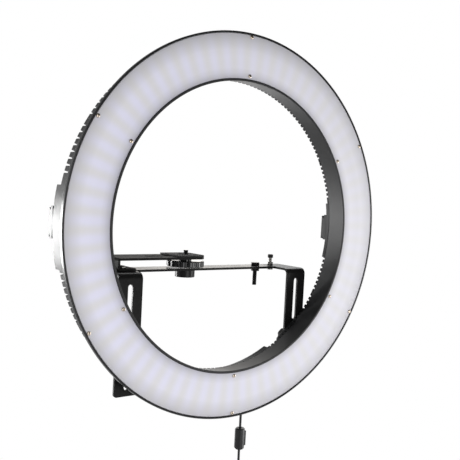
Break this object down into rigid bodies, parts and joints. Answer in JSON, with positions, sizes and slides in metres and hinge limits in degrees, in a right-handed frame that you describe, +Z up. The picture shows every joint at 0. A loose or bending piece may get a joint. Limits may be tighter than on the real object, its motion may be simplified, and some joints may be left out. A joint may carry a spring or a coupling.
{
  "type": "led ring light",
  "caption": "LED ring light with opal diffuser and vented black housing on a folded steel yoke, with camera plate, thumb wheel, battery plates, rear controls and hanging supply cord",
  "frame": {"origin": "middle of the stand socket's underside, where a light stand screws in", "axes": "+Z up, -Y the way the light shines, +X to the right of the lamp as seen from in front"},
  "size_m": [0.4805, 0.1091, 0.6583],
  "materials": {
    "black_plastic": "moulded black ABS, fine texture",
    "opal_plastic": "opal white acrylic, semi-gloss",
    "zinc_steel": "bright zinc plate",
    "black_steel": "black powder coat, satin",
    "white_board": "white solder mask",
    "cool_led": "white package, pale yellow phosphor",
    "warm_led": "white package, amber phosphor",
    "green_board": "green solder mask",
    "brass": "turned brass",
    "gold_contact": "gold plated",
    "gloss_black": "gloss black moulding",
    "inlet_plastic": "black nylon",
    "socket_steel": "turned steel, black",
    "rubber": "ribbed black rubber",
    "black_aluminium": "black anodised, polished",
    "cord_rubber": "black PVC",
    "ferrite": "dark grey ferrite ceramic"
  },
  "bodies": {
    "yoke": {"yoke": "black_steel", "stand_socket": "socket_steel", "camera_plate": "black_steel", "rubber_pad": "rubber", "foot_screws": "zinc_steel", "foot_nuts": "zinc_steel", "accessory_bolt": "black_steel", "accessory_nut": "black_steel", "arm_bolt": "zinc_steel", "arm_nut": "black_steel", "arm_cap": "rubber"},
    "lamp": {"front_housing": "black_plastic", "rear_cover_right": "black_plastic", "rear_cover_upper_right": "black_plastic", "rear_cover_upper_left": "black_plastic", "rear_cover_left": "black_plastic", "rear_cover_lower_left": "black_plastic", "rear_cover_lower_right": "black_plastic", "control_box": "black_plastic", "battery_plate_left": "black_plastic", "battery_plate_right": "black_plastic", "leg_pad_left": "black_plastic", "leg_pad_right": "black_plastic", "ferrite_shell_front": "black_plastic", "ferrite_shell_back": "black_plastic", "diffuser": "opal_plastic", "diffuser_screws": "zinc_steel", "cover_screws": "zinc_steel", "clamp_bolts": "zinc_steel", "clamp_washers": "zinc_steel", "led_board_upper_right": "white_board", "led_board_upper_left": "white_board", "led_board_lower_left": "white_board", "led_board_lower_right": "white_board", "leds_cool": "cool_led", "leds_warm": "warm_led", "driver_board": "green_board", "battery_board_left": "green_board", "battery_board_right": "green_board", "cover_standoffs": "brass", "battery_contacts_left": "gold_contact", "battery_contacts_right": "gold_contact", "power_switch": "gloss_black", "dc_inlet": "inlet_plastic", "supply_cord": "cord_rubber", "dc_plug": "cord_rubber", "adapter_connector": "cord_rubber", "cord_tie": "cord_rubber", "ferrite_core": "ferrite"},
    "colour_knob": {"colour_knob": "gloss_black"},
    "brightness_knob": {"brightness_knob": "gloss_black"},
    "power_rocker": {"power_rocker": "gloss_black"},
    "clamp_knob_left": {"clamp_knob_left": "black_plastic"},
    "clamp_knob_right": {"clamp_knob_right": "black_plastic"},
    "camera_screw": {"camera_screw": "black_aluminium"},
    "battery_latch_left": {"battery_latch_left": "black_plastic"},
    "battery_latch_right": {"battery_latch_right": "black_plastic"}
  },
  "joints": [
    {"name": "height_slide", "type": "slide", "parent": "yoke", "child": "lamp", "axis": [0, 0, 1], "range_m": [-0.0355, 0.0155]},
    {"name": "colour_turn", "type": "hinge", "parent": "lamp", "child": "colour_knob", "pos_m": [0.05854, -0.032, -0.13444], "axis": [0, 1, 0], "range_deg": [-150, 150]},
    {"name": "brightness_turn", "type": "hinge", "parent": "lamp", "child": "brightness_knob", "pos_m": [0.08333, -0.032, -0.12894], "axis": [0, 1, 0], "range_deg": [-150, 150]},
    {"name": "power_rock", "type": "hinge", "parent": "lamp", "child": "power_rocker", "pos_m": [0.10894, -0.0311, -0.11975], "axis": [-0.3987, 0, 0.9171], "range_deg": [0, 20]},
    {"name": "clamp_turn_left", "type": "hinge", "parent": "lamp", "child": "clamp_knob_left", "pos_m": [-0.1065, -0.034, -0.089], "axis": [0, 1, 0], "continuous": true},
    {"name": "clamp_turn_right", "type": "hinge", "parent": "lamp", "child": "clamp_knob_right", "pos_m": [0.1585, -0.034, -0.089], "axis": [0, 1, 0], "continuous": true},
    {"name": "camera_screw_turn", "type": "hinge", "parent": "yoke", "child": "camera_screw", "pos_m": [0, 0, 0.018], "axis": [0, 0, 1], "continuous": true},
    {"name": "latch_press_left", "type": "slide", "parent": "lamp", "child": "battery_latch_left", "axis": [0, -1, 0], "range_m": [0, 0.002], "stiffness_N_per_m": 600},
    {"name": "latch_press_right", "type": "slide", "parent": "lamp", "child": "battery_latch_right", "axis": [0, -1, 0], "range_m": [0, 0.002], "stiffness_N_per_m": 600}
  ]
}
